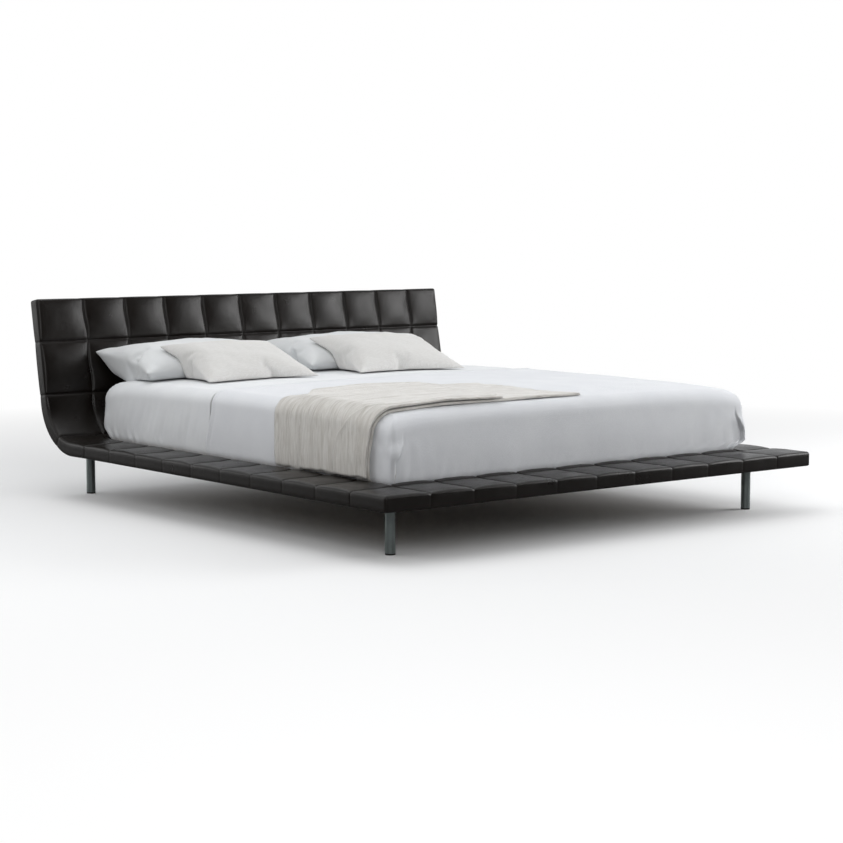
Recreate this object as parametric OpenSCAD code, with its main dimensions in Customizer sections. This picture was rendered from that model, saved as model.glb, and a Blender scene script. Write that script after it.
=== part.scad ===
// Upholstered platform bed with a curved headboard, made up with a mattress, bedding and pillows.
// Origin: on the floor under the middle of the bed. +X to the right, +Y to the head, +Z up.
// Inside the modules, y counts from the foot edge and on_floor_centre() shifts it to the origin.

/* [Mattress] */
// Width of the mattress
mattress_w = 1790; // [1300:10:2200]
// Length of the mattress
mattress_l = 1990; // [1700:10:2500]
// Height of the mattress
mattress_h = 290; // [200:5:350]
// Radius of the mattress's corners seen from above
mattress_corner_r = 70; // [65:1:120]
// Radius of the mattress's top edges
mattress_edge_r = 58; // [50:1:90]
// Thickness of the mattress's zipped cover
ticking_t = 8; // [4:1:15]
// Height of the zip above the mattress's underside
zip_h = 110; // [60:1:150]

/* [Platform] */
// Width of the rim beside the mattress
side_rim_w = 195; // [160:1:300]
// Width of the rim at the foot
foot_rim_w = 235; // [200:1:350]
// Height of the rim's top above the floor
deck_top = 243; // [220:1:400]
// Thickness of the rim and of the headboard
shell_t = 58; // [50:1:80]
// Depth of the slats' top below the rim's top
recess = 30; // [26:1:34]
// Room between the made-up mattress and the rim
mattress_gap = 6; // [4:1:20]

/* [Headboard] */
// Length of rim beside the mattress's head end that belongs to the bend
bend_overlap = 55; // [30:1:90]
// Inner radius of the bend
bend_r = 192; // [120:1:300]
// Lean of the headboard back from upright, in degrees
lean = 9.6; // [5:0.1:20]
// Height of the straight part of the headboard, along its slope
back_l = 451; // [300:1:800]

/* [Upholstery] */
// Thickness of the leather
leather_t = 2.5; // [1.5:0.1:4]
// Thickness of the foam on top of the rim and on the front of the headboard
pad_t = 16; // [8:1:22]
// Thickness of the foam around the outer edges
edge_pad_t = 8; // [4:1:15]
// Width of the leather that folds under the rim
fold_w = 40; // [20:1:60]

/* [Slats] */
// Number of slats
slat_count = 14; // [10:1:18]
// Width of a slat
slat_w = 70; // [50:1:80]
// Thickness of a slat
slat_t = 12; // [8:1:12]
// Wall of the slat seats
seat_t = 2; // [1:0.5:2]
// Width of the ledges that carry the slats
ledge_w = 28; // [20:1:40]
// Diameter of the pegs under the slat seats
peg_d = 8; // [5:1:12]
// Room between the first and last slat and the ends of the opening
slat_margin = 62; // [55:1:120]

/* [Centre beam] */
// Width of the beam
beam_w = 60; // [40:1:80]
// Height of the beam
beam_h = 30; // [20:1:60]
// Wall of the beam
beam_t = 2; // [1.5:0.5:4]
// Thickness of the rubber strip on the beam
strip_t = 2; // [1:0.5:3]

/* [Legs] */
// Outer diameter of a leg
leg_d = 38; // [30:1:60]
// Wall of a leg's tube
leg_t = 2; // [1.5:0.5:4]
// Distance of the legs' axes from the sides of the bed
leg_inset = 170; // [80:1:300]
// Distance of the foot legs' axes from the foot edge
foot_leg_y = 195; // [80:1:200]
// Distance of the head legs' axes past the start of the bend
head_leg_past = 135; // [100:1:150]
// Side of the plate on top of a leg
plate_w = 84; // [70:1:100]
// Thickness of the plate on top of a leg
plate_t = 5; // [3:0.5:8]
// Height of the glide's foot under a leg
glide_h = 6; // [4:1:15]

/* [Fasteners] */
// Distance between a leg plate's screws
screw_pitch = 58; // [50:1:60]
// Diameter of the wood screws
screw_d = 5; // [4:0.5:6]
// Depth of the wood screws in the wood
screw_bite = 26; // [15:1:30]
// Clearance of screws and bolts in the plates and covers, on the diameter
hole_play = 0.5; // [0.2:0.1:1]
// Diameter of the corner brackets' bolts
bolt_d = 8; // [6:1:10]
// Depth of the bolts in the wood
bolt_bite = 40; // [25:1:60]
// Thickness of the corner brackets
bracket_t = 4; // [3:0.5:5]
// Length of a corner bracket's arm
bracket_l = 60; // [50:1:80]

/* [Bedding] */
// Thickness of the fitted sheet
sheet_t = 1.5; // [1:0.5:3]
// Thickness of the coverlet
coverlet_t = 2.5; // [1:0.5:5]
// Distance of the coverlet's head hem from the foot end of the mattress
coverlet_l = 1230; // [900:10:1500]
// Thickness of the folded throw
throw_t = 12; // [6:1:25]
// Distance of the throw's foot edge from the foot end of the mattress
throw_y = 100; // [60:10:400]
// Width of the folded throw where it hangs
throw_w = 610; // [400:10:700]
// Height of the throw's hem above the rim
throw_hem = 9; // [5:1:60]
// Reach of the throw from the mattress's side over its top
throw_reach = 985; // [700:10:1300]
// Width of the throw's far end
throw_tip_w = 120; // [60:10:400]
// Extra width of the throw where its head edge bows out
throw_bulge = 85; // [0:5:150]
// Room between loose pieces
loose_gap = 0.5; // [0.3:0.1:2]

/* [Pillows] */
// Length of a back pillow
back_pillow_w = 800; // [600:10:850]
// Depth of a back pillow
back_pillow_l = 450; // [350:10:550]
// Thickness of a back pillow
back_pillow_t = 122; // [80:1:160]
// Lean of the back pillows, in degrees
back_pillow_lean = 9; // [6:0.5:12]
// Distance of the back pillows from the middle of the bed
back_pillow_x = 425; // [420:5:470]
// Length of a front pillow
front_pillow_w = 600; // [450:10:650]
// Depth of a front pillow
front_pillow_l = 430; // [350:10:450]
// Thickness of a front pillow
front_pillow_t = 110; // [80:1:150]
// Lean of the front pillows, in degrees
front_pillow_lean = 19; // [15:0.5:25]

/* [Hidden] */
$fn = 64;
eps = 0.01;
far = 4000;
cut = 1;

// Platform and headboard
bedding_t = sheet_t + coverlet_t;
open_w = mattress_w + 2 * (bedding_t + mattress_gap);
open_l = mattress_l + 2 * (bedding_t + mattress_gap);
open_y0 = foot_rim_w;
open_y1 = open_y0 + open_l;
mattress_y = open_y0 + open_l / 2;
frame_w = open_w + 2 * side_rim_w;
deck_l = open_y1 - bend_overlap;
deck_bottom = deck_top - shell_t;
bend_z = deck_top + bend_r;
bend_turn = 90 - lean;
total_l = deck_l + (bend_r + shell_t) * sin(bend_turn) + back_l * cos(bend_turn);
core_t = shell_t - pad_t - 2 * leather_t;
core_z = deck_bottom + leather_t;
core_inset = leather_t + edge_pad_t;

// Legs and fasteners
leg_x = frame_w / 2 - leg_inset;
head_leg_y = deck_l + head_leg_past;
saddle_turn = asin(head_leg_past / (bend_r + shell_t));
saddle_span = plate_w / (bend_r + shell_t) * 180 / PI;
screw_turn = screw_pitch / 2 / (bend_r + shell_t) * 180 / PI;
head_d = 2 * screw_d - 1;
head_t = 3;
bolt_head_d = 13;
bolt_head_t = 5.5;
bracket_h = 24;
bolt_z = core_z + bracket_h / 2;
bolt_end = 20;
bolt_pitch = 24;
splice_pitch = 30;
head_play = 0.5;
ledge_screw_up = 5;
plug_h = 25;

// Slats and beam
slat_z = deck_top - recess - slat_t;
ledge_z = slat_z - seat_t;
first_slat_y = open_y0 + slat_margin;
slat_step = (open_l - 2 * slat_margin) / (slat_count - 1);
seat_l = 30;
seat_side = bracket_t + bolt_head_t + head_play;
slat_l = open_w - 2 * (seat_side + seat_t);
peg_h = 8;
peg_x = open_w / 2 - seat_side - (ledge_w - seat_side) / 2;
beam_top = slat_z - strip_t;
beam_leg_top = beam_top - beam_h;
ledge_end = seat_side + 2;
ledge_gap = 4;
head_arm = 80;
strip_end = 10;
hanger_w = 120;
hanger_arm = 45;
hanger_bolt_x = beam_w / 2 + 14;

// Bedding
bed_top = deck_top - recess + loose_gap + mattress_h;
mattress_z = deck_top - recess + loose_gap;
sheet_hem = 2;
coverlet_hem = 3;
throw_side_x = mattress_w / 2 + bedding_t + loose_gap;

// Pillows
pillow_edge_r = 14;
pillow_belly = 0.34;
head_gap = 12;
back_pillow_rise = 14;
front_pillow_rise = 30;
front_pillow_out = 22;
front_pillow_fore = 70;
back_pillow_z = bed_top + sheet_t + back_pillow_t / 2 + back_pillow_rise;
back_pillow_y = head_front_y(back_pillow_z + back_pillow_l / 2 * sin(back_pillow_lean))
    - head_gap - back_pillow_l / 2 * cos(back_pillow_lean);
front_pillow_x = back_pillow_x + front_pillow_out;
front_pillow_z = bed_top + bedding_t + front_pillow_t / 2 + front_pillow_rise;
front_pillow_y = back_pillow_y - back_pillow_l / 2 - front_pillow_fore;

function slat_name(i) = str("slat_", i < 10 ? "0" : "", i);
function head_front_y(z) = deck_l + bend_r * sin(bend_turn)
    + (z - bend_z + bend_r * cos(bend_turn)) * tan(lean);
function slat_y(i) = first_slat_y + (i - 1) * slat_step;

// ---- Shared shapes ----

module on_floor_centre() {
    translate([0, -total_l / 2, 0]) children();
}

// Both sides of the bed
module both() {
    children();
    mirror([1, 0, 0]) children();
}

// Extrudes an outline drawn in (y, z) from x0 to x1
module along_x(x0, x1) {
    translate([x0, 0, 0]) rotate([90, 0, 90]) linear_extrude(height = x1 - x0) children();
}

// Extrudes an outline drawn in (x, z) from y0 to y1
module along_y(y0, y1) {
    translate([0, y1, 0]) rotate([90, 0, 0]) linear_extrude(height = y1 - y0) children();
}

module box(x0, x1, y0, y1, z0, z1) {
    translate([x0, y0, z0]) cube([x1 - x0, y1 - y0, z1 - z0]);
}

// Frame of the bend: its axis is Z, X points out at the end of the bend and Y up the headboard
module bend_frame() {
    translate([0, deck_l, bend_z]) rotate([90, 0, 90]) rotate([0, 0, bend_turn - 90]) children();
}

// Bent layer between two depths below the top and front surface
module bent_layer(d0, d1, side_cut, top_cut) {
    w = frame_w - 2 * side_cut;
    bend_frame() translate([0, 0, -w / 2]) {
        rotate_extrude(start = -bend_turn, angle = bend_turn)
            translate([bend_r + d0, 0]) square([d1 - d0, w]);
        translate([bend_r + d0, 0, 0]) cube([d1 - d0, back_l - top_cut, w]);
    }
}

// Cut for the mattress in the bend's first part, wider than the opening by g
module mattress_notch(g) {
    box(-open_w / 2 - g, open_w / 2 + g, deck_l - far, open_y1 + g, 0, deck_top + recess);
}

module bent_solid(d0, d1, side_cut, top_cut, notch_g) {
    difference() {
        bent_layer(d0, d1, side_cut, top_cut);
        mattress_notch(notch_g);
    }
}

// Places children on the underside of the bend at an angle past the bend's start, facing down
module under_bend(turn) {
    translate([0, deck_l, bend_z]) rotate([turn, 0, 0]) translate([0, 0, -bend_r - shell_t]) children();
}

// Places children at the four screws of each foot leg, on the underside
module at_foot_leg_screws() {
    for (dx = [-1, 1], dy = [-1, 1])
        translate([leg_x + dx * screw_pitch / 2, foot_leg_y + dy * screw_pitch / 2, deck_bottom]) children();
}

// Places children at the four screws of each head leg, square to the bend
module at_head_leg_screws() {
    for (dx = [-1, 1], turn = [-1, 1])
        translate([leg_x + dx * screw_pitch / 2, 0, 0])
            under_bend(saddle_turn + turn * screw_turn) children();
}

module at_leg_screws() {
    both() {
        at_foot_leg_screws() children();
        at_head_leg_screws() children();
    }
}

module leg_screw_holes(d) {
    at_leg_screws() translate([0, 0, -screw_bite]) cylinder(d = d, h = 2 * screw_bite);
}

// Places children at each bracket bolt of the left and right side, +Z out of the opening into the wood
module at_bracket_bolts() {
    for (y = [open_y0 + bolt_end, open_y0 + bolt_end + bolt_pitch, deck_l - splice_pitch,
              deck_l - 2 * splice_pitch, deck_l + splice_pitch])
        translate([open_w / 2, y, bolt_z]) rotate([0, 90, 0]) children();
    for (x = [open_w / 2 - bolt_pitch, open_w / 2 - 2 * bolt_pitch]) {
        translate([x, open_y0, bolt_z]) rotate([90, 0, 0]) children();
        translate([x, open_y1, bolt_z]) rotate([-90, 0, 0]) children();
    }
}

// Places children at the bolts of the beam's hangers
module at_hanger_bolts() {
    for (x = [-hanger_bolt_x, hanger_bolt_x]) {
        translate([x, open_y0, bolt_z]) rotate([90, 0, 0]) children();
        translate([x, open_y1, bolt_z]) rotate([-90, 0, 0]) children();
    }
}

module at_bolts() {
    both() at_bracket_bolts() children();
    at_hanger_bolts() children();
}

module bolt_holes(d) {
    at_bolts() translate([0, 0, -bracket_t - cut]) cylinder(d = d, h = bolt_bite + bracket_t + cut);
}

// Places children at the ledge screws between the slats, +Z into the side rail
module at_ledge_screws() {
    both() for (i = [1:2:slat_count - 3])
        translate([open_w / 2, slat_y(i) + slat_step / 2, core_z + ledge_screw_up]) rotate([0, 90, 0]) children();
}

module ledge_screw_holes(d) {
    at_ledge_screws() translate([0, 0, -ledge_w - cut]) cylinder(d = d, h = ledge_w + cut + screw_bite);
}

// ---- Wooden core ----

module head_core() {
    color("burlywood") on_floor_centre() difference() {
        bent_solid(leather_t + pad_t, shell_t - leather_t, core_inset, core_inset, leather_t);
        leg_screw_holes(screw_d);
        bolt_holes(bolt_d);
    }
}

module side_rail() {
    difference() {
        box(open_w / 2 + leather_t, frame_w / 2 - core_inset, open_y0, deck_l, core_z, core_z + core_t);
        bolt_holes(bolt_d);
        ledge_screw_holes(screw_d);
    }
}

module side_rail_left() {
    color("burlywood") on_floor_centre() mirror([1, 0, 0]) side_rail();
}

module side_rail_right() {
    color("burlywood") on_floor_centre() side_rail();
}

module foot_rail() {
    w = frame_w / 2 - core_inset;
    color("burlywood") on_floor_centre() difference() {
        box(-w, w, core_inset, foot_rim_w - leather_t, core_z, core_z + core_t);
        leg_screw_holes(screw_d);
        bolt_holes(bolt_d);
    }
}

// ---- Mattress support ----

module centre_beam() {
    y0 = open_y0 + bracket_t;
    y1 = open_y1 - bracket_t;
    color("dimgray") on_floor_centre() difference() {
        box(-beam_w / 2, beam_w / 2, y0, y1, beam_leg_top, beam_top);
        box(-beam_w / 2 + beam_t, beam_w / 2 - beam_t, y0 - cut, y1 + cut, beam_leg_top + beam_t, beam_top - beam_t);
    }
}

module beam_strip() {
    color("black") on_floor_centre()
        box(-beam_w / 2, beam_w / 2, open_y0 + strip_end, open_y1 - strip_end, beam_top, slat_z);
}

// L-shaped hanger under one end of the beam, drawn at the foot end
module beam_hanger() {
    difference() {
        union() {
            box(-hanger_w / 2, hanger_w / 2, 0, bracket_t, beam_leg_top - bracket_t, core_z + bracket_h);
            box(-beam_w / 2, beam_w / 2, 0, hanger_arm, beam_leg_top - bracket_t, beam_leg_top);
        }
        for (x = [-hanger_bolt_x, hanger_bolt_x])
            translate([x, -cut, bolt_z]) rotate([-90, 0, 0])
                cylinder(d = bolt_d + hole_play, h = bracket_t + 2 * cut);
    }
}

module beam_hangers() {
    color("dimgray") on_floor_centre() {
        translate([0, open_y0, 0]) beam_hanger();
        translate([0, open_y1, 0]) mirror([0, 1, 0]) beam_hanger();
    }
}

// Ledge on the right side, cut back beside the corner brackets
module slat_ledge() {
    x0 = open_w / 2 - ledge_w;
    x1 = open_w / 2;
    difference() {
        box(x0, x1, open_y0 + ledge_end, open_y1 - ledge_end, core_z, ledge_z);
        box(x1 - seat_side, x1 + cut, open_y0, open_y0 + bracket_l + ledge_gap, 0, far);
        box(x1 - seat_side, x1 + cut, deck_l - head_arm - ledge_gap, open_y1, 0, far);
        ledge_screw_holes(screw_d + hole_play);
        for (i = [1:slat_count])
            translate([peg_x, slat_y(i), ledge_z - peg_h]) cylinder(d = peg_d, h = peg_h + cut);
    }
}

module slat_ledge_left() {
    color("tan") on_floor_centre() mirror([1, 0, 0]) slat_ledge();
}

module slat_ledge_right() {
    color("tan") on_floor_centre() slat_ledge();
}

module ledge_screws() {
    color("silver") on_floor_centre() at_ledge_screws() {
        translate([0, 0, -ledge_w]) cylinder(d = screw_d, h = ledge_w + screw_bite);
        translate([0, 0, -ledge_w - head_t]) cylinder(d = head_d, h = head_t);
    }
}

// Seat that holds one end of a slat, with a peg into the ledge
module slat_seat(y) {
    x1 = open_w / 2 - seat_side;
    difference() {
        box(x1 - seat_l, x1, y - slat_w / 2 - seat_t, y + slat_w / 2 + seat_t, ledge_z, slat_z + slat_t);
        box(x1 - seat_l - cut, slat_l / 2, y - slat_w / 2, y + slat_w / 2, slat_z, slat_z + slat_t + cut);
    }
    translate([peg_x, y, ledge_z - peg_h]) cylinder(d = peg_d, h = peg_h);
}

module slat_seats() {
    for (i = [1:slat_count]) slat_seat(slat_y(i));
}

module slat_seats_left() {
    color("black") on_floor_centre() mirror([1, 0, 0]) slat_seats();
}

module slat_seats_right() {
    color("black") on_floor_centre() slat_seats();
}

module slat(i) {
    color("wheat") on_floor_centre()
        box(-slat_l / 2, slat_l / 2, slat_y(i) - slat_w / 2, slat_y(i) + slat_w / 2, slat_z, slat_z + slat_t);
}

// ---- Brackets and bolts ----

// Corner bracket at the foot end of the right side
module bracket_foot() {
    x1 = open_w / 2;
    z1 = core_z + bracket_h;
    difference() {
        union() {
            box(x1 - bracket_t, x1, open_y0, open_y0 + bracket_l, core_z, z1);
            box(x1 - bracket_l, x1, open_y0, open_y0 + bracket_t, core_z, z1);
        }
        bolt_holes(bolt_d + hole_play);
    }
}

// Corner bracket at the head end, with a long arm over the joint of rail and headboard
module bracket_head() {
    x1 = open_w / 2;
    z1 = core_z + bracket_h;
    difference() {
        union() {
            box(x1 - bracket_t, x1, deck_l - head_arm, open_y1, core_z, z1);
            box(x1 - bracket_l, x1, open_y1 - bracket_t, open_y1, core_z, z1);
        }
        bolt_holes(bolt_d + hole_play);
    }
}

module bracket_foot_left() {
    color("gray") on_floor_centre() mirror([1, 0, 0]) bracket_foot();
}

module bracket_foot_right() {
    color("gray") on_floor_centre() bracket_foot();
}

module bracket_head_left() {
    color("gray") on_floor_centre() mirror([1, 0, 0]) bracket_head();
}

module bracket_head_right() {
    color("gray") on_floor_centre() bracket_head();
}

module bracket_bolts() {
    color("silver") on_floor_centre() at_bolts() {
        translate([0, 0, -bracket_t]) cylinder(d = bolt_d, h = bracket_t + bolt_bite);
        translate([0, 0, -bracket_t - bolt_head_t]) cylinder(d = bolt_head_d, h = bolt_head_t, $fn = 6);
    }
}

// ---- Legs ----

module leg_tube(top) {
    difference() {
        translate([0, 0, glide_h]) cylinder(d = leg_d, h = top - glide_h);
        translate([0, 0, glide_h - cut]) cylinder(d = leg_d - 2 * leg_t, h = top - glide_h + 2 * cut);
    }
}

module leg_foot() {
    half = plate_w / 2;
    difference() {
        union() {
            translate([leg_x, foot_leg_y, 0]) leg_tube(deck_bottom - plate_t);
            box(leg_x - half, leg_x + half, foot_leg_y - half, foot_leg_y + half, deck_bottom - plate_t, deck_bottom);
        }
        leg_screw_holes(screw_d + hole_play);
    }
}

// Outline of the saddle plate that follows the underside of the bend
module saddle_outline() {
    r = bend_r + shell_t;
    a0 = saddle_turn - saddle_span / 2;
    a1 = saddle_turn + saddle_span / 2;
    translate([deck_l, bend_z]) intersection() {
        difference() {
            circle(r + plate_t);
            circle(r);
        }
        polygon([[0, 0], 2 * r * [sin(a0), -cos(a0)], 2 * r * [sin(a1), -cos(a1)]]);
    }
}

module leg_head() {
    half = plate_w / 2;
    difference() {
        union() {
            difference() {
                translate([leg_x, head_leg_y, 0]) leg_tube(bend_z);
                along_x(leg_x - leg_d, leg_x + leg_d)
                    translate([deck_l, bend_z]) circle(bend_r + shell_t + plate_t - eps);
            }
            along_x(leg_x - half, leg_x + half) saddle_outline();
        }
        leg_screw_holes(screw_d + hole_play);
    }
}

module leg_foot_left() {
    color("darkslategray") on_floor_centre() mirror([1, 0, 0]) leg_foot();
}

module leg_foot_right() {
    color("darkslategray") on_floor_centre() leg_foot();
}

module leg_head_left() {
    color("darkslategray") on_floor_centre() mirror([1, 0, 0]) leg_head();
}

module leg_head_right() {
    color("darkslategray") on_floor_centre() leg_head();
}

module leg_centre() {
    half = beam_w / 2;
    color("darkslategray") on_floor_centre() translate([0, mattress_y, 0]) {
        leg_tube(beam_leg_top - plate_t);
        box(-half, half, -half, half, beam_leg_top - plate_t, beam_leg_top);
    }
}

module leg_screws() {
    color("silver") on_floor_centre() at_leg_screws() {
        translate([0, 0, -plate_t]) cylinder(d = screw_d, h = plate_t + screw_bite);
        translate([0, 0, -plate_t - head_t]) cylinder(d = head_d, h = head_t);
    }
}

// Glide: a foot as wide as the tube, with a plug inside it
module glide() {
    cylinder(d = leg_d, h = glide_h);
    cylinder(d = leg_d - 2 * leg_t, h = glide_h + plug_h);
}

module leg_glides() {
    color("black") on_floor_centre() {
        both() for (y = [foot_leg_y, head_leg_y]) translate([leg_x, y, 0]) glide();
        translate([0, mattress_y, 0]) glide();
    }
}

// ---- Foam ----

module pad_head() {
    color("khaki") on_floor_centre() difference() {
        bent_solid(leather_t, shell_t - leather_t, leather_t, leather_t, leather_t);
        bent_layer(leather_t + pad_t, shell_t, core_inset, core_inset);
    }
}

module pad_side() {
    difference() {
        box(open_w / 2 + leather_t, frame_w / 2 - leather_t, open_y0, deck_l, core_z, deck_top - leather_t);
        box(0, frame_w / 2 - core_inset, open_y0 - cut, deck_l + cut, 0, core_z + core_t);
    }
}

module pad_side_left() {
    color("khaki") on_floor_centre() mirror([1, 0, 0]) pad_side();
}

module pad_side_right() {
    color("khaki") on_floor_centre() pad_side();
}

module pad_foot() {
    out = frame_w / 2 - leather_t;
    in = frame_w / 2 - core_inset;
    color("khaki") on_floor_centre() difference() {
        box(-out, out, leather_t, foot_rim_w - leather_t, core_z, deck_top - leather_t);
        box(-in, in, core_inset, foot_rim_w, 0, core_z + core_t);
    }
}

// ---- Leather ----

module cover_head_front() {
    color("#17130f") on_floor_centre() bent_solid(0, leather_t, 0, 0, 0);
}

module cover_head_back() {
    color("#17130f") on_floor_centre() difference() {
        bent_solid(leather_t, shell_t, 0, 0, 0);
        difference() {
            bent_layer(leather_t - cut, shell_t - leather_t, leather_t, leather_t);
            box(-open_w / 2, open_w / 2, open_y1 - cut, open_y1 + leather_t, 0, deck_top + recess);
            both()
                box(open_w / 2, open_w / 2 + leather_t, deck_l - cut, open_y1 + leather_t, 0, deck_top + recess);
        }
        leg_screw_holes(screw_d + hole_play);
        bolt_holes(bolt_d + hole_play);
    }
}

module cover_side() {
    x0 = open_w / 2;
    x1 = frame_w / 2;
    difference() {
        box(x0, x1, open_y0, deck_l, deck_bottom, deck_top);
        box(x0 + leather_t, x1 - leather_t, open_y0 - cut, deck_l + cut, core_z, deck_top - leather_t);
        box(x0 + fold_w, x1 - fold_w, open_y0 + fold_w, deck_l - fold_w, deck_bottom - cut, core_z + cut);
        bolt_holes(bolt_d + hole_play);
        ledge_screw_holes(screw_d + hole_play);
    }
}

module cover_side_left() {
    color("#17130f") on_floor_centre() mirror([1, 0, 0]) cover_side();
}

module cover_side_right() {
    color("#17130f") on_floor_centre() cover_side();
}

module cover_foot() {
    x1 = frame_w / 2;
    in = x1 - leather_t;
    fold = x1 - fold_w;
    color("#17130f") on_floor_centre() difference() {
        box(-x1, x1, 0, foot_rim_w, deck_bottom, deck_top);
        box(-in, in, leather_t, foot_rim_w - leather_t, core_z, deck_top - leather_t);
        box(-fold, fold, fold_w, foot_rim_w - fold_w, deck_bottom - cut, core_z + cut);
        leg_screw_holes(screw_d + hole_play);
        bolt_holes(bolt_d + hole_play);
    }
}

module underside_liner() {
    x0 = open_w / 2 + fold_w;
    x1 = frame_w / 2 - fold_w;
    color("#101010") on_floor_centre() difference() {
        union() {
            box(-x1, x1, fold_w, foot_rim_w - fold_w, deck_bottom, core_z);
            both() box(x0, x1, open_y0 + fold_w, deck_l - fold_w, deck_bottom, core_z);
        }
        leg_screw_holes(screw_d + hole_play);
    }
}

// ---- Mattress and bedding ----

// Mattress shape grown by g on its sides and top, from z0 up
module mattress_block(g, z0) {
    w = mattress_w + 2 * g;
    l = mattress_l + 2 * g;
    top = mattress_z + mattress_h + g;
    translate([0, mattress_y, 0]) intersection() {
        translate([0, 0, z0]) linear_extrude(height = top - z0) round_rect(w, l, mattress_corner_r + g);
        along_y(-l / 2, l / 2) round_top(w, z0, top, mattress_edge_r + g);
        along_x(-w / 2, w / 2) round_top(l, z0, top, mattress_edge_r + g);
    }
}

module round_rect(w, l, r) {
    square([w - 2 * r, l], center = true);
    square([w, l - 2 * r], center = true);
    for (sx = [-1, 1], sy = [-1, 1])
        translate([sx * (w / 2 - r), sy * (l / 2 - r)]) circle(r);
}

// Upright outline of width w with rounded top corners
module round_top(w, z0, z1, r) {
    translate([-w / 2, z0]) square([w, z1 - z0 - r]);
    translate([-w / 2 + r, z0]) square([w - 2 * r, z1 - z0]);
    for (sx = [-1, 1]) translate([sx * (w / 2 - r), z1 - r]) circle(r);
}

module mattress_core() {
    color("lightyellow") on_floor_centre() mattress_block(-ticking_t, mattress_z + ticking_t);
}

module mattress_shell() {
    difference() {
        mattress_block(0, mattress_z);
        mattress_block(-ticking_t, mattress_z + ticking_t);
    }
}

module mattress_cover_top() {
    color("whitesmoke") on_floor_centre() difference() {
        mattress_shell();
        box(-far, far, -far, far, 0, mattress_z + zip_h);
    }
}

module mattress_cover_base() {
    color("gainsboro") on_floor_centre() difference() {
        mattress_shell();
        box(-far, far, -far, far, mattress_z + zip_h, far);
    }
}

module fitted_sheet() {
    color("white") on_floor_centre() difference() {
        mattress_block(sheet_t, mattress_z + sheet_hem);
        mattress_block(0, mattress_z + sheet_hem - cut);
    }
}

module coverlet() {
    hem_y = mattress_y - mattress_l / 2 + coverlet_l;
    color("ghostwhite") on_floor_centre() difference() {
        mattress_block(bedding_t, mattress_z + coverlet_hem);
        mattress_block(sheet_t, mattress_z + coverlet_hem - cut);
        box(-far, far, hem_y, far, 0, far);
    }
}

// The throw lies across the mattress in a tapering fold and hangs over its left side
module throw() {
    top = mattress_z + mattress_h + bedding_t + loose_gap;
    r = mattress_edge_r + bedding_t + loose_gap;
    hem = deck_top + throw_hem;
    y0 = mattress_y - mattress_l / 2 + throw_y;
    y1 = y0 + throw_w;
    x0 = -throw_side_x;
    x1 = x0 + throw_reach;
    outer_x = x0 - throw_t - cut;
    color("antiquewhite") on_floor_centre() intersection() {
        along_y(y0, y1 + throw_bulge) difference() {
            union() {
                translate([x0 - throw_t, hem]) square([throw_reach, top - r - hem]);
                translate([x0 + r, top - r]) circle(r + throw_t);
                translate([x0 + r, top - r]) square([throw_reach, r + throw_t]);
            }
            translate([x0, 0]) square([far, top - r]);
            translate([x0 + r, 0]) square([far, top]);
            translate([x0 + r, top - r]) circle(r);
        }
        linear_extrude(height = far) polygon([
            [outer_x, y0], [x1, y0], [x1, y0 + throw_tip_w], [x1 - throw_reach / 10, y1],
            [x0 + throw_reach / 2, y1 + throw_bulge], [x0 + throw_reach / 4, y1 + throw_bulge],
            [x0 + r, y1], [outer_x, y1]]);
    }
}

// ---- Pillows ----

// Puffed pillow
module pillow_shape(w, l, t) {
    hull() {
        for (sx = [-1, 1], sy = [-1, 1])
            translate([sx * (w / 2 - pillow_edge_r), sy * (l / 2 - pillow_edge_r), 0])
                sphere(r = pillow_edge_r, $fn = 16);
        scale([pillow_belly * w, pillow_belly * l, t / 2]) sphere(r = 1, $fn = 32);
    }
}

module back_pillow() {
    translate([back_pillow_x, back_pillow_y, back_pillow_z]) rotate([back_pillow_lean, 0, 0])
        pillow_shape(back_pillow_w, back_pillow_l, back_pillow_t);
}

module front_pillow() {
    translate([front_pillow_x, front_pillow_y, front_pillow_z]) rotate([front_pillow_lean, 0, 0])
        pillow_shape(front_pillow_w, front_pillow_l, front_pillow_t);
}

module pillow_back_left() {
    color("white") on_floor_centre() mirror([1, 0, 0]) back_pillow();
}

module pillow_back_right() {
    color("white") on_floor_centre() back_pillow();
}

module pillow_front_left() {
    color("linen") on_floor_centre() mirror([1, 0, 0]) front_pillow();
}

module pillow_front_right() {
    color("linen") on_floor_centre() front_pillow();
}

// ---- Drawing ----

head_core();
side_rail_left();
side_rail_right();
foot_rail();
centre_beam();
beam_strip();
beam_hangers();
slat_ledge_left();
slat_ledge_right();
ledge_screws();
slat_seats_left();
slat_seats_right();
for (i = [1:slat_count])
    slat(i);
bracket_foot_left();
bracket_foot_right();
bracket_head_left();
bracket_head_right();
bracket_bolts();
leg_foot_left();
leg_foot_right();
leg_head_left();
leg_head_right();
leg_centre();
leg_screws();
leg_glides();
pad_head();
pad_side_left();
pad_side_right();
pad_foot();
cover_head_front();
cover_head_back();
cover_side_left();
cover_side_right();
cover_foot();
underside_liner();
mattress_core();
mattress_cover_top();
mattress_cover_base();
fitted_sheet();
coverlet();
throw();
pillow_back_left();
pillow_back_right();
pillow_front_left();
pillow_front_right();
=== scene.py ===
"""Looks of an upholstered platform bed: quilted leather, bedding, a folded throw and four pillows."""

import math

import bpy
import numpy as np
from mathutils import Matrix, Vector, noise
from mathutils.bvhtree import BVHTree


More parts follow.
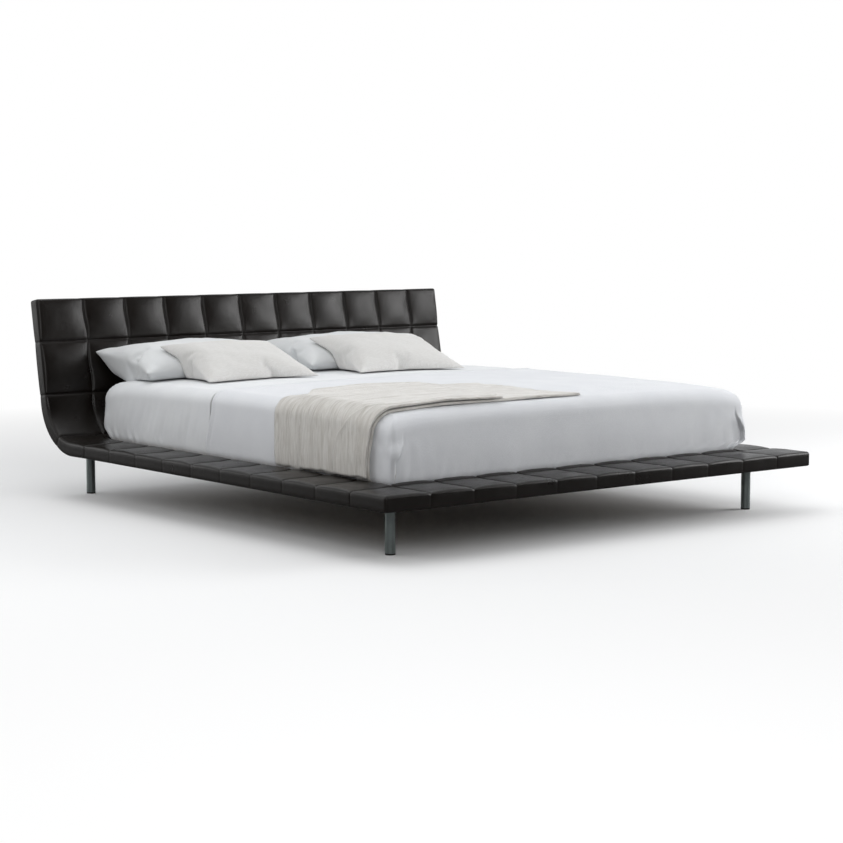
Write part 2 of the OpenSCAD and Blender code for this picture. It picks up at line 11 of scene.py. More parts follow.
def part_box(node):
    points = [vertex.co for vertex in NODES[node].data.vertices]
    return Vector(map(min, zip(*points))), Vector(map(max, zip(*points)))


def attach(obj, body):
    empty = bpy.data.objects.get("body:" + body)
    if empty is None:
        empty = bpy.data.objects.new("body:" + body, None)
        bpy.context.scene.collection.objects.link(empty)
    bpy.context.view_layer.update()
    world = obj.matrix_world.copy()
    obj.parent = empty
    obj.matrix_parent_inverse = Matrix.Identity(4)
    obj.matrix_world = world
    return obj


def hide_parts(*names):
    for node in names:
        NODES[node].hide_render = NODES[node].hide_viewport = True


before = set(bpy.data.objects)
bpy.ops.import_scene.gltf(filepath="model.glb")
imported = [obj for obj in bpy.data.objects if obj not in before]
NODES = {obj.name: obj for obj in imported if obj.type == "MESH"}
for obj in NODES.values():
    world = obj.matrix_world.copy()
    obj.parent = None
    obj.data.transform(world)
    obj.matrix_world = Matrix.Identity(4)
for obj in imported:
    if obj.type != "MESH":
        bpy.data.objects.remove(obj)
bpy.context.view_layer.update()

# ---- Sizes, in metres, from the frame and from the design ----

SHELL_BEND_R = 0.192
SHELL_LEAN = math.radians(9.6)
SHELL_BACK_L = 0.451
FOLD_W = 0.040
COLUMNS = 11
ROWS = 14
TOP_SEAM_RISE = 0.022  # the headboard's top row of panels is this much shorter than the others

FOOT_LOW, FOOT_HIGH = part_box("cover_foot")
SIDE_LOW, SIDE_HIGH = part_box("cover_side_right")
HALF_W = FOOT_HIGH.x
FOOT_Y = FOOT_LOW.y
DECK_TOP = FOOT_HIGH.z
SHELL_T = FOOT_HIGH.z - FOOT_LOW.z
OPEN_X = SIDE_LOW.x
OPEN_Y0 = FOOT_HIGH.y
BEND_Y = SIDE_HIGH.y
FLAT_L = BEND_Y - FOOT_Y
BEND_TURN = math.pi / 2 - SHELL_LEAN
ARC_L = SHELL_BEND_R * BEND_TURN
PROFILE_L = FLAT_L + ARC_L + SHELL_BACK_L
CELL_W = 2 * HALF_W / COLUMNS
CELL_L = PROFILE_L / ROWS
X_SEAMS = np.array([-HALF_W + CELL_W * i for i in range(1, COLUMNS)])
S_SEAMS = np.array([CELL_L * i for i in range(1, ROWS)])
S_SEAMS[-1] += TOP_SEAM_RISE
RIM_END = S_SEAMS[9]

BED_LOW, BED_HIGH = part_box("coverlet")
TICK_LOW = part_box("mattress_cover_base")[0]
BED_HALF_W = BED_HIGH.x
BED_FOOT_Y = BED_LOW.y
BED_HEAD_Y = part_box("fitted_sheet")[1].y
BED_TOP = BED_HIGH.z
BED_BASE = TICK_LOW.z
HEM_Y = BED_HIGH.y


# ---- Numbers and noise ----

def smooth(t):
    t = np.clip(t, 0.0, 1.0)
    return t * t * (3 - 2 * t)


def ramp(value, start, end):
    return smooth((np.asarray(value, float) - start) / (end - start))


def wobble(points, scale, seed=0.0):
    """Smooth noise from -1 to 1 at each point; scale is a number or one for each axis."""
    scaled = np.asarray(points, float) * np.asarray(scale, float) + seed
    return np.array([noise.noise(Vector(p)) for p in scaled])


def seam_gap(values, seams):
    return np.min(np.abs(values[:, None] - seams[None, :]), axis=1)


def spread(start, end, step):
    return np.linspace(start, end, max(2, int(round((end - start) / step)) + 1))


def cell_lines(start, end, seams, count):
    """Grid lines from start to end that crowd together at both ends and at each seam between them."""
    stops = [start] + [s for s in seams if start + 0.004 < s < end - 0.004] + [end]
    lines = [start]
    for a, b in zip(stops[:-1], stops[1:]):
        n = max(6, int(round(count * (b - a) / CELL_W)))
        turn = np.arange(1, n + 1) / n
        eased = 0.5 - 0.5 * np.cos(np.pi * turn)
        lines.extend(a + (b - a) * (0.72 * eased + 0.28 * turn))
    return np.array(lines)


# ---- Meshes ----

def grid_shell(us, vs, ws, keep=None, floor=True, open_sides=()):
    """A box made of grids: a top over us and vs, walls down through ws and a floor.

    keep tells which cells of the top exist. open_sides are the outer sides with no wall.
    """
    index, params, faces = {}, [], []
    nu, nv, last = len(us) - 1, len(vs) - 1, len(ws) - 1
    kept = np.ones((nu, nv), bool) if keep is None else keep

    def at(i, j, k):
        key = (i, j, k)
        if key not in index:
            index[key] = len(params)
            params.append((us[i], vs[j], ws[k]))
        return index[key]

    for i in range(nu):
        for j in range(nv):
            if not kept[i, j]:
                continue
            corners = ((i, j), (i + 1, j), (i + 1, j + 1), (i, j + 1))
            faces.append(tuple(at(*c, 0) for c in corners))
            if floor:
                faces.append(tuple(at(*c, last) for c in reversed(corners)))
            sides = (
                ((-1, 0), (i, j + 1), (i, j)),
                ((1, 0), (i + 1, j), (i + 1, j + 1)),
                ((0, -1), (i, j), (i + 1, j)),
                ((0, 1), (i + 1, j + 1), (i, j + 1)),
            )
            for (di, dj), a, b in sides:
                ni, nj = i + di, j + dj
                outside = not (0 <= ni < nu and 0 <= nj < nv)
                if outside and (di, dj) in open_sides:
                    continue
                if not outside and kept[ni, nj]:
                    continue
                for k in range(last):
                    faces.append((at(*a, k + 1), at(*b, k + 1), at(*b, k), at(*a, k)))
    return np.array(params, float), faces


def rounded(points, low, high, low_inset, high_inset):
    """Points on a box moved onto the same box with rounded edges, and the way out at each.

    A side without an inset stays flat, and its points keep their order inside the rounded outline.
    """
    low, high = np.array(low, float), np.array(high, float)
    low_inset, high_inset = np.array(low_inset, float), np.array(high_inset, float)
    inner = np.clip(points, low + low_inset, high - high_inset)
    off = points - inner
    inset = np.where(off < 0, low_inset, high_inset)
    share = np.divide(off, inset, out=np.zeros_like(off), where=inset > 0)
    length = np.linalg.norm(share, axis=1, keepdims=True)
    unit = np.divide(share, length, out=np.zeros_like(share), where=length > 1e-9)
    way = unit * np.max(np.abs(share), axis=1, keepdims=True)
    return inner + way * inset, way


def mesh_piece(name, points, faces, material, body=None):
    mesh = bpy.data.meshes.new(name)
    mesh.from_pydata([tuple(float(c) for c in p) for p in points], [], faces)
    mesh.materials.append(material)
    mesh.polygons.foreach_set("use_smooth", [True] * len(mesh.polygons))
    mesh.validate()
    piece = bpy.data.objects.new(name, mesh)
    bpy.context.scene.collection.objects.link(piece)
    if body:
        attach(piece, body)
    return piece


def thicken(piece, thickness, offset=-1.0):
    modifier = piece.modifiers.new("thickness", "SOLIDIFY")
    modifier.thickness = thickness
    modifier.offset = offset


def subdivide(piece, levels=1):
    modifier = piece.modifiers.new("smooth", "SUBSURF")
    modifier.levels = levels
    modifier.render_levels = levels


# ---- Materials ----

class Shader:
    """A Principled material and short ways to wire textures into it."""

    def __init__(self, name, colour, roughness, **sockets):
        self.material = bpy.data.materials.new(name)
        self.material.use_nodes = True
        self.tree = self.material.node_tree
        self.surface = self.tree.nodes["Principled BSDF"]
        self.surface.inputs["Base Color"].default_value = (*colour, 1.0)
        self.surface.inputs["Roughness"].default_value = roughness
        for socket, value in sockets.items():
            self.surface.inputs[socket.replace("_", " ")].default_value = value
        self.place = self.add("ShaderNodeTexCoord").outputs["Object"]
        self.height = None

    def add(self, kind, **inputs):
        node = self.tree.nodes.new(kind)
        for socket, value in inputs.items():
            self.feed(node, socket.replace("_", " "), value)
        return node

    def feed(self, node, socket, value):
        if isinstance(value, bpy.types.NodeSocket):
            self.tree.links.new(value, node.inputs[socket])
        else:
            node.inputs[socket].default_value = value

    def stretched(self, scale):
        return self.add("ShaderNodeMapping", Vector=self.place, Scale=scale).outputs["Vector"]

    def noise(self, scale, detail=2.0, stretch=None, distortion=0.0):
        place = self.stretched(stretch) if stretch else self.place
        node = self.add("ShaderNodeTexNoise", Vector=place, Scale=scale, Detail=detail, Distortion=distortion)
        return node.outputs["Fac"]

    def cells(self, scale, feature="DISTANCE_TO_EDGE"):
        node = self.add("ShaderNodeTexVoronoi", Vector=self.place, Scale=scale)
        node.feature = feature
        return node.outputs["Distance"]

    def waves(self, scale, direction, distortion=0.0, stretch=None):
        place = self.stretched(stretch) if stretch else self.place
        node = self.add("ShaderNodeTexWave", Vector=place, Scale=scale, Distortion=distortion)
        node.bands_direction = direction
        node.inputs["Detail"].default_value = 2.0
        return node.outputs["Fac"]

    def span(self, value, low, high, from_low=0.0, from_high=1.0):
        node = self.add("ShaderNodeMapRange", Value=value)
        node.inputs["From Min"].default_value = from_low
        node.inputs["From Max"].default_value = from_high
        node.inputs["To Min"].default_value = low
        node.inputs["To Max"].default_value = high
        return node.outputs["Result"]

    def blend(self, share, first, second):
        """Colour between first and second; a colour mix has its colours in sockets 6 and 7."""
        node = self.tree.nodes.new("ShaderNodeMix")
        node.data_type = "RGBA"
        self.tree.links.new(share, node.inputs["Factor"])
        node.inputs[6].default_value = (*first, 1.0)
        node.inputs[7].default_value = (*second, 1.0)
        return node.outputs[2]

    def colour(self, socket):
        self.tree.links.new(socket, self.surface.inputs["Base Color"])

    def roughness(self, socket):
        self.tree.links.new(socket, self.surface.inputs["Roughness"])

    def bump(self, socket, distance, strength=1.0):
        inputs = {"Height": socket, "Distance": distance, "Strength": strength}
        if self.height is not None:
            inputs["Normal"] = self.height
        self.height = self.add("ShaderNodeBump", **inputs).outputs["Normal"]
        self.tree.links.new(self.height, self.surface.inputs["Normal"])


def leather_material():
    look = Shader("leather_black", (0.006, 0.0043, 0.0032), 0.32, Specular_IOR_Level=0.27)
    mottle = look.span(look.noise(9.0, 3.0), 0.0, 1.0, 0.3, 0.7)
    look.colour(look.blend(mottle, (0.0045, 0.0029, 0.0020), (0.0078, 0.0056, 0.0043)))
    look.roughness(look.span(look.noise(14.0, 4.0), 0.27, 0.38, 0.3, 0.7))
    look.bump(look.noise(28.0, 3.0), 0.0016, 0.35)
    look.bump(look.cells(420.0), 0.0005, 0.5)
    look.bump(look.noise(1500.0, 2.0), 0.0002, 0.35)
    return look.material


def cotton_material(name, light, dark, weave=900.0):
    look = Shader(name, light, 0.82, Sheen_Weight=0.15, Sheen_Roughness=0.5, Specular_IOR_Level=0.25)
    look.colour(look.blend(look.span(look.noise(7.0, 4.0), 0.0, 1.0, 0.3, 0.7), light, dark))
    look.bump(look.noise(22.0, 3.0), 0.003, 0.18)
    look.bump(look.waves(weave, "X"), 0.0002, 0.25)
    look.bump(look.waves(weave, "Y"), 0.0002, 0.25)
    return look.material


def linen_material():
    look = Shader("linen_warm", (0.72, 0.71, 0.69), 0.88, Sheen_Weight=0.2, Sheen_Roughness=0.5,
                  Specular_IOR_Level=0.2)
    slub_x = look.noise(1.0, 2.0, stretch=(60.0, 900.0, 60.0))
    slub_y = look.noise(1.0, 2.0, stretch=(900.0, 60.0, 60.0))
    shade = look.span(slub_x, 0.0, 1.0, 0.35, 0.65)
    look.colour(look.blend(shade, (0.735, 0.730, 0.715), (0.66, 0.650, 0.63)))
    look.bump(slub_x, 0.0006, 0.4)
    look.bump(slub_y, 0.0006, 0.4)
    look.bump(look.noise(30.0, 3.0), 0.003, 0.25)
    return look.material


def plush_material():
    look = Shader("plush_ivory", (0.70, 0.655, 0.58), 0.92, Sheen_Weight=0.6, Sheen_Roughness=0.35,
                  Specular_IOR_Level=0.15)
    streaks = look.noise(1.0, 4.0, stretch=(8.0, 62.0, 8.0), distortion=1.3)
    pile = look.noise(420.0, 3.0)
    shade = look.blend(look.span(streaks, 0.0, 1.0, 0.32, 0.68), (0.75, 0.735, 0.700), (0.57, 0.545, 0.505))
    look.colour(shade)
    look.bump(streaks, 0.006, 0.75)
    look.bump(pile, 0.0015, 0.6)
    return look.material


def steel_material(name, colour, roughness, grain):
    look = Shader(name, colour, roughness, Metallic=0.9)
    brushed = look.noise(1.0, 3.0, stretch=grain)
    look.roughness(look.span(brushed, roughness - 0.08, roughness + 0.12, 0.3, 0.7))
    darker, lighter = tuple(0.8 * c for c in colour), tuple(1.2 * c for c in colour)
    look.colour(look.blend(look.noise(30.0, 3.0), darker, lighter))
    look.bump(brushed, 0.0001, 0.4)
    return look.material


def wood_material(name, light, dark, along):
    look = Shader(name, light, 0.55)
    stretch = tuple(3.0 if i == along else 60.0 for i in range(3))
    grain = look.noise(1.0, 5.0, stretch=stretch, distortion=0.6)
    look.colour(look.blend(look.span(grain, 0.0, 1.0, 0.3, 0.7), light, dark))
    look.bump(grain, 0.0004, 0.4)
    return look.material


def rubber_material(name, colour, roughness):
    look = Shader(name, colour, roughness)
    grain = look.noise(600.0, 2.0)
    look.colour(look.blend(grain, tuple(0.8 * c for c in colour), tuple(1.3 * c for c in colour)))
    look.bump(grain, 0.0002, 0.4)
    return look.material


def liner_material():
    look = Shader("liner_black", (0.012, 0.012, 0.013), 0.9)
    fibres = look.noise(160.0, 5.0, distortion=1.5)
    look.colour(look.blend(fibres, (0.008, 0.008, 0.009), (0.025, 0.025, 0.027)))
    look.bump(fibres, 0.0004, 0.5)
    return look.material


LEATHER = leather_material()
SHEET_COTTON = cotton_material("cotton_sheet", (0.83, 0.845, 0.86), (0.78, 0.795, 0.815))
COVER_COTTON = cotton_material("cotton_coverlet", (0.80, 0.815, 0.84), (0.755, 0.77, 0.80), weave=700.0)
PILLOW_COTTON = cotton_material("cotton_pillow", (0.77, 0.785, 0.79), (0.72, 0.735, 0.745))
TICKING = cotton_material("cotton_ticking", (0.72, 0.72, 0.70), (0.66, 0.66, 0.64), weave=300.0)
LINEN = linen_material()
PLUSH = plush_material()


# ---- Leather shell ----

PUFF_RIM = 0.008  # how far a panel puffs out on the rim,
PUFF_HEAD = 0.011  # and on the headboard
VALLEY = 0.006  # depth of the valley at a seam,
VALLEY_W = 0.0038  # and about half its width
TOP_SINK = 0.003  # how far a panel's edge lies inside the design's surface
LIP_RISE = 0.006  # padded lip round the mattress
LIP_W = 0.035
WRINKLE = 0.0011  # short wrinkles at the seams
WAVE = 0.0018  # soft unevenness of the panels
SEAM_DRIFT = 0.022  # the headboard's seams lie this far right of an even grid,
SEAM_BOW = 0.021  # this much more in its middle,
SEAM_WANDER = 0.0035  # and wander this much
ROW_BOW = 0.004  # how far the headboard's seams bow within a row
SIDE_SWELL = 0.010  # how far the headboard's sides bulge
BACK_PUFF = 0.004  # the same on the headboard's back, which is flatter
BACK_SINK = 0.0025
BASE_SINK = 0.0035  # how far the underside is drawn in, behind the black cloth there
EDGE_PUFF = 0.0012  # the same as on the top, on the shell's thin sides
EDGE_VALLEY = 0.0010
EDGE_R = 0.010
BASE_R = 0.007
HEAD_GAP = 0.006  # between the mattress and the headboard's leather


def profile(s):
    """Height line of the shell's top and front surface: place (y, z) and way out (ny, nz) at length s."""
    s = np.asarray(s, float)
    turn = np.clip((s - FLAT_L) / SHELL_BEND_R, 0.0, BEND_TURN)
    flat = np.minimum(s, FLAT_L)
    past = np.maximum(s - FLAT_L - ARC_L, 0.0)
    y = FOOT_Y + flat + SHELL_BEND_R * np.sin(turn) + past * math.cos(BEND_TURN)
    z = DECK_TOP + SHELL_BEND_R * (1 - np.cos(turn)) + past * math.sin(BEND_TURN)
    return y, z, -np.sin(turn), np.cos(turn)


def dome(gap, half, power):
    return 1 - (1 - np.minimum(gap / half, 1.0)) ** power


def groove(gap):
    return np.exp(-((gap / VALLEY_W) ** 2))


def quilt(x, s):
    """How far the padded leather stands above the shell's surface."""
    gap_x = seam_gap(x, X_SEAMS)
    gap_s = seam_gap(s, S_SEAMS)
    puff = PUFF_RIM + (PUFF_HEAD - PUFF_RIM) * ramp(s, RIM_END - 0.1, RIM_END + 0.3)
    power = 2.6 - 0.5 * ramp(s, RIM_END - 0.1, RIM_END + 0.3)
    across = dome(gap_x, CELL_W / 2, power)
    along = dome(gap_s, CELL_L / 2, power)
    edge = np.minimum(np.minimum(HALF_W - np.abs(x), s), PROFILE_L - s)
    roll = 0.45 + 0.55 * dome(edge, 0.06, 2.0)
    valley = 1 - (1 - groove(gap_x)) * (1 - groove(gap_s))
    inner = np.maximum(np.abs(x) - OPEN_X, OPEN_Y0 - FOOT_Y - s)
    lip = LIP_RISE * np.exp(-((inner / LIP_W) ** 2)) * (s < RIM_END + 0.15)
    place = np.stack([x, s, np.zeros_like(x)], axis=1)
    near = np.exp(-np.minimum(gap_x, gap_s) / 0.035)
    creases = WRINKLE * wobble(place, (38.0, 38.0, 1.0)) * near
    creases += WAVE * wobble(place, 7.0, 3.1) * across * along
    return puff * across * along * roll - VALLEY * valley - TOP_SINK + lip + creases


def shell_points(params, low, high, free):
    """Places grid points (x, s, depth) on the shell.

    free says which ends are rounded: x low, x high, s low, s high.
    """
    left, right, start, end = (EDGE_R if f else 0.0 for f in free)
    place, unit = rounded(params, low, high, (left, start, EDGE_R), (right, end, BASE_R))
    x, s, depth = place[:, 0], place[:, 1], place[:, 2]
    lift = np.maximum(-unit[:, 2], 0.0)
    seam_s = seam_gap(s, S_SEAMS)
    seam_x = seam_gap(x, X_SEAMS)
    depth = depth - lift * quilt(x, s)
    below = np.maximum(unit[:, 2], 0.0)
    back = ramp(s, RIM_END, RIM_END + 0.25)
    back_puff = BACK_PUFF * dome(seam_s, CELL_L / 2, 2.6) * dome(seam_x, CELL_W / 2, 2.6)
    depth = depth + below * back * (back_puff - BACK_SINK)
    inside_fold = np.min([x - low[0], high[0] - x, s - low[1], high[1] - s], axis=0) > FOLD_W
    flat_part = (s < RIM_END) & (below > 0.99) & inside_fold
    depth = depth - np.where(flat_part, BASE_SINK, 0.0)
    bulge_x = EDGE_PUFF * dome(seam_s, CELL_L / 2, 2.2) - EDGE_VALLEY * groove(seam_s)
    bulge_s = EDGE_PUFF * dome(seam_x, CELL_W / 2, 2.2) - EDGE_VALLEY * groove(seam_x)
    x = x + unit[:, 0] * bulge_x
    s_out = unit[:, 1] * bulge_s
    drift = np.stack([x, s, np.zeros_like(x)], axis=1)
    inner = dome(HALF_W - np.abs(x), 0.1, 2.0) * lift
    upright = ramp(s, RIM_END - 0.05, RIM_END + 0.45)
    bow = ROW_BOW * np.sin(2 * np.pi * (s - RIM_END) / CELL_L)
    middle = SEAM_BOW * (1 - (x / HALF_W) ** 2)
    wander = SEAM_WANDER * wobble(drift, (3.1, 5.3, 1.0), 7.7)
    x = x + (wander + bow + middle + SEAM_DRIFT) * inner * upright
    x = x + SIDE_SWELL * (x / HALF_W) * upright
    y, z, ny, nz = profile(s)
    ty, tz = nz, -ny
    return np.stack([x, y - depth * ny + s_out * ty, z - depth * nz + s_out * tz], axis=1)


def depth_lines():
    top = [EDGE_R * t for t in (0.0, 0.3, 0.62, 1.0)]
    base = [SHELL_T - BASE_R * t for t in (1.0, 0.6, 0.3, 0.0)]
    return np.array(top + [0.02, 0.03, 0.041] + base)


def edge_lines(lines, at_start, at_end, radius=EDGE_R):
    """Adds the lines that a rounded end needs."""
    extra = []
    for t in (0.3, 0.62, 1.0):
        if at_start:
            extra.append(lines[0] + radius * t)
        if at_end:
            extra.append(lines[-1] - radius * t)
    merged = np.unique(np.round(np.concatenate([lines, extra]), 5))
    return merged[np.concatenate([[True], np.diff(merged) > 0.0008])]


def shell_piece(name, xs, ss, free, nodes, keep=None):
    low = (xs[0], ss[0], 0.0)
    high = (xs[-1], ss[-1], SHELL_T)
    params, faces = grid_shell(xs, ss, depth_lines(), keep)
    piece = mesh_piece(name, shell_points(params, low, high, free), faces, LEATHER, "bed_frame")
    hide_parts(*nodes)
    return piece


def build_leather():
    fine = 22
    rim_s = cell_lines(S_SEAMS[0], RIM_END, S_SEAMS, fine)
    right_x = edge_lines(cell_lines(OPEN_X, HALF_W, (), fine), False, True)
    shell_piece("leather_side_right", right_x, rim_s, (0, 1, 0, 0), ["cover_side_right", "pad_side_right"])
    left_x = -right_x[::-1]
    shell_piece("leather_side_left", left_x, rim_s, (1, 0, 0, 0), ["cover_side_left", "pad_side_left"])

    foot_x = edge_lines(cell_lines(-HALF_W, HALF_W, X_SEAMS, fine), True, True)
    foot_x = np.unique(np.concatenate([foot_x, [-OPEN_X, OPEN_X]]))
    foot_s = edge_lines(cell_lines(0.0, S_SEAMS[0], (), fine), True, False)
    foot_s = np.concatenate([foot_s, spread(S_SEAMS[0], OPEN_Y0 - FOOT_Y, 0.006)[1:]])
    middle_x = (foot_x[:-1] + foot_x[1:]) / 2
    middle_s = (foot_s[:-1] + foot_s[1:]) / 2
    keep = (np.abs(middle_x)[:, None] < OPEN_X) | (middle_s[None, :] < S_SEAMS[0])
    shell_piece("leather_foot", foot_x, foot_s, (1, 1, 1, 0), ["cover_foot", "pad_foot"], keep)

    head_s = edge_lines(cell_lines(RIM_END, PROFILE_L, S_SEAMS, fine), False, True)
    notch_y = BED_HEAD_Y + HEAD_GAP
    notch = FLAT_L + SHELL_BEND_R * math.asin((notch_y - BEND_Y) / SHELL_BEND_R)
    head_s = np.unique(np.concatenate([head_s, [notch]]))
    middle_s = (head_s[:-1] + head_s[1:]) / 2
    keep = (np.abs(middle_x)[:, None] > OPEN_X) | (middle_s[None, :] > notch)
    shell_piece("leather_headboard", foot_x, head_s, (1, 1, 0, 1),
                ["cover_head_front", "cover_head_back", "pad_head"], keep)


# ---- Mattress and sheets ----

PLAN_R = 0.022
TOP_R = 0.062
WALL_TOP = BED_TOP - TOP_R
SHIFT_LEFT = 0.010  # how far the bedding's left side lies right of the design's,
SHIFT_RIGHT = 0.062  # how far its right side lies beyond the design's, over the rim,
SHIFT_HEAD = 0.042  # and how far its head end lies toward the headboard
HEM_TUCK = 0.035
CROWN = 0.006
BELLY = 0.005
CORNER_DROOP = 0.036
TICKING_SINK = 0.0055
SHEET_SINK = 0.0025
SHEET_T = 0.0012
SHEET_FOLDS = 0.0050
SHEET_OVERLAP = 0.06  # how far the sheet runs on under the coverlet's hem
COVERLET_RISE = 0.0006
COVERLET_T = 0.0022
COVERLET_GATHERS = 0.006
FLAP_T = 0.0120  # folded corner flaps at the foot
FLAP_VALLEY = 0.0050
HEM_T = 0.0030
HEM_VALLEY = 0.0022


def bed_points(params, out):
    """Places points of the bed's box on the made-up mattress, out above its cover.

    A point lies on the top where its z is WALL_TOP or more, and on a wall below that.
    """
    low = np.array((-BED_HALF_W, BED_FOOT_Y))
    high = np.array((BED_HALF_W, BED_HEAD_Y))
    plan, z = params[:, :2], params[:, 2]
    inner = np.clip(plan, low + PLAN_R, high - PLAN_R)
    off = plan - inner
    length = np.maximum(np.linalg.norm(off, axis=1, keepdims=True), 1e-9)
    reach = np.max(np.abs(off), axis=1, keepdims=True)
    plan = inner + off * reach / length
    edges = np.concatenate([plan - low, high - plan], axis=1)[:, [0, 2, 1, 3]]
    nearest = np.argmin(edges, axis=1)
    straight = np.array([(-1.0, 0.0), (1.0, 0.0), (0.0, -1.0), (0.0, 1.0)])[nearest]
    round_part = (reach > 1e-9)[:, 0]
    gap = np.where(round_part, PLAN_R - reach[:, 0], edges.min(axis=1))
    outward = np.where(round_part[:, None], off / length, straight)
    on_top = z > WALL_TOP - 1e-6
    steep = np.clip(1 - gap / TOP_R, 0, 1)
    rise = np.sqrt(np.maximum(1 - steep**2, 1e-4))
    height = np.where(on_top, WALL_TOP + TOP_R * rise, z)
    slope = np.where(on_top, steep / rise, 1e3)
    way = np.concatenate([outward * slope[:, None], np.ones((len(z), 1))], axis=1)
    way[:, 2] = np.where(on_top, 1.0, 0.0)
    way /= np.linalg.norm(way, axis=1, keepdims=True)
    side_x, end_y = edges[:, :2].min(axis=1), edges[:, 2:].min(axis=1)
    crown = CROWN * ramp(side_x, 0.0, 0.7) * ramp(end_y, 0.0, 0.7)
    droop = CORNER_DROOP * np.exp(-side_x / 0.13) * np.exp(-end_y / 0.20)
    high_part = ramp(height, BED_BASE + 0.1, WALL_TOP)
    moved = np.concatenate([plan, height[:, None]], axis=1) + way * np.asarray(out, float).reshape(-1, 1)
    moved[:, 2] += (crown - droop) * high_part
    belly = BELLY * np.sin(np.pi * np.clip((height - BED_BASE) / (WALL_TOP - BED_BASE), 0, 1))
    moved[:, :2] += outward * belly[:, None] * (~on_top)[:, None]
    tuck = HEM_TUCK * np.clip((DECK_TOP + 0.022 - height) / (DECK_TOP + 0.022 - BED_BASE), 0, 1) ** 2
    moved[:, :2] -= outward * tuck[:, None]
    share = (plan[:, 0] - low[0]) / (high[0] - low[0])
    above_rim = ramp(height, DECK_TOP + 0.008, DECK_TOP + 0.042)
    moved[:, 0] += SHIFT_LEFT * (1 - share) + SHIFT_RIGHT * share * above_rim
    toward_head = (plan[:, 1] - low[1]) / (high[1] - low[1])
    moved[:, 1] += SHIFT_HEAD * toward_head**2 * ramp(height, DECK_TOP, DECK_TOP + 0.06)
    return moved


def wall_lines(low):
    return spread(low, WALL_TOP, 0.009)[::-1]


def edge_steps():
    """Distances from the mattress's side at which its rounded edge needs a line."""
    turns = np.linspace(0.0, math.pi / 2, 9)
    return TOP_R * (1 - np.cos(turns))


def bed_lines(low, high, step, at_low=True, at_high=True, fine=()):
    """Grid lines across the top, close together over the rounded edges and over the fine spans."""
    steps = edge_steps()
    start = low + steps[-1] if at_low else low
    end = high - steps[-1] if at_high else high
    lines = [spread(start, end, step)]
    if at_low:
        lines.append(low + steps[:-1])
    if at_high:
        lines.append(high - steps[:-1])
    for a, b, tight in fine:
        lines.append(spread(a, b, tight))
    merged = np.unique(np.round(np.concatenate(lines), 5))
    keep = np.concatenate([[True], np.diff(merged) > 0.0004])
    keep[-1] = True
    return merged[keep]


def build_mattress():
    xs = bed_lines(-BED_HALF_W, BED_HALF_W, 0.016)
    ys = bed_lines(BED_FOOT_Y, BED_HEAD_Y, 0.016)
    params, faces = grid_shell(xs, ys, wall_lines(BED_BASE))
    under = params[:, 2] < BED_BASE + 1e-6
    points = bed_points(params, np.full(len(params), -TICKING_SINK))
    points[under, 2] = BED_BASE
    piece = mesh_piece("mattress_ticking", points, faces, TICKING, "mattress")
    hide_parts("mattress_core", "mattress_cover_top", "mattress_cover_base")


def side_of(params):
    """Masks of the grid points on the left, right, foot and head walls."""
    near = 1e-6
    return (
        params[:, 0] < -BED_HALF_W + near,
        params[:, 0] > BED_HALF_W - near,
        params[:, 1] < BED_FOOT_Y + near,
        params[:, 1] > BED_HEAD_Y - near,
    )


def build_fitted_sheet():
    xs = bed_lines(-BED_HALF_W, BED_HALF_W, 0.0085)
    ys = bed_lines(HEM_Y - SHEET_OVERLAP, BED_HEAD_Y, 0.0085, at_low=False)
    zs = wall_lines(BED_BASE + 0.004)
    params, faces = grid_shell(xs, ys, zs, floor=False, open_sides=((0, -1),))
    x, y, z = params.T
    low_part = ramp(z, WALL_TOP + 0.02, WALL_TOP - 0.12)
    slanted = np.stack([x, y + 0.30 * z, z], axis=1)
    folds = wobble(slanted, (2.0, 15.0, 2.4), 5.0) + 0.7 * wobble(slanted, (3.0, 36.0, 4.0), 9.0)
    side = np.abs(x) > BED_HALF_W - TOP_R
    out = np.where(side, SHEET_FOLDS * folds * (0.35 + low_part), 0.0)
    out += 0.0010 * wobble(params, (9.0, 5.0, 3.0), 2.0)
    end_gap = BED_HEAD_Y - y
    corner = np.exp(-end_gap / 0.12) * np.exp(-(BED_HALF_W - np.abs(x)) / 0.12)
    out += 0.006 * corner * wobble(params, (26.0, 26.0, 9.0), 1.0)
    points = bed_points(params, np.maximum(out, -0.0015) - SHEET_SINK)
    piece = mesh_piece("fitted_sheet_cloth", points, faces, SHEET_COTTON, "mattress")
    thicken(piece, SHEET_T)
    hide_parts("fitted_sheet")


def hem_y(x):
    """Head hem of the coverlet: further up the bed towards the right."""
    return HEM_Y - 0.075 + 0.10 * ramp(x, -BED_HALF_W, 0.5)


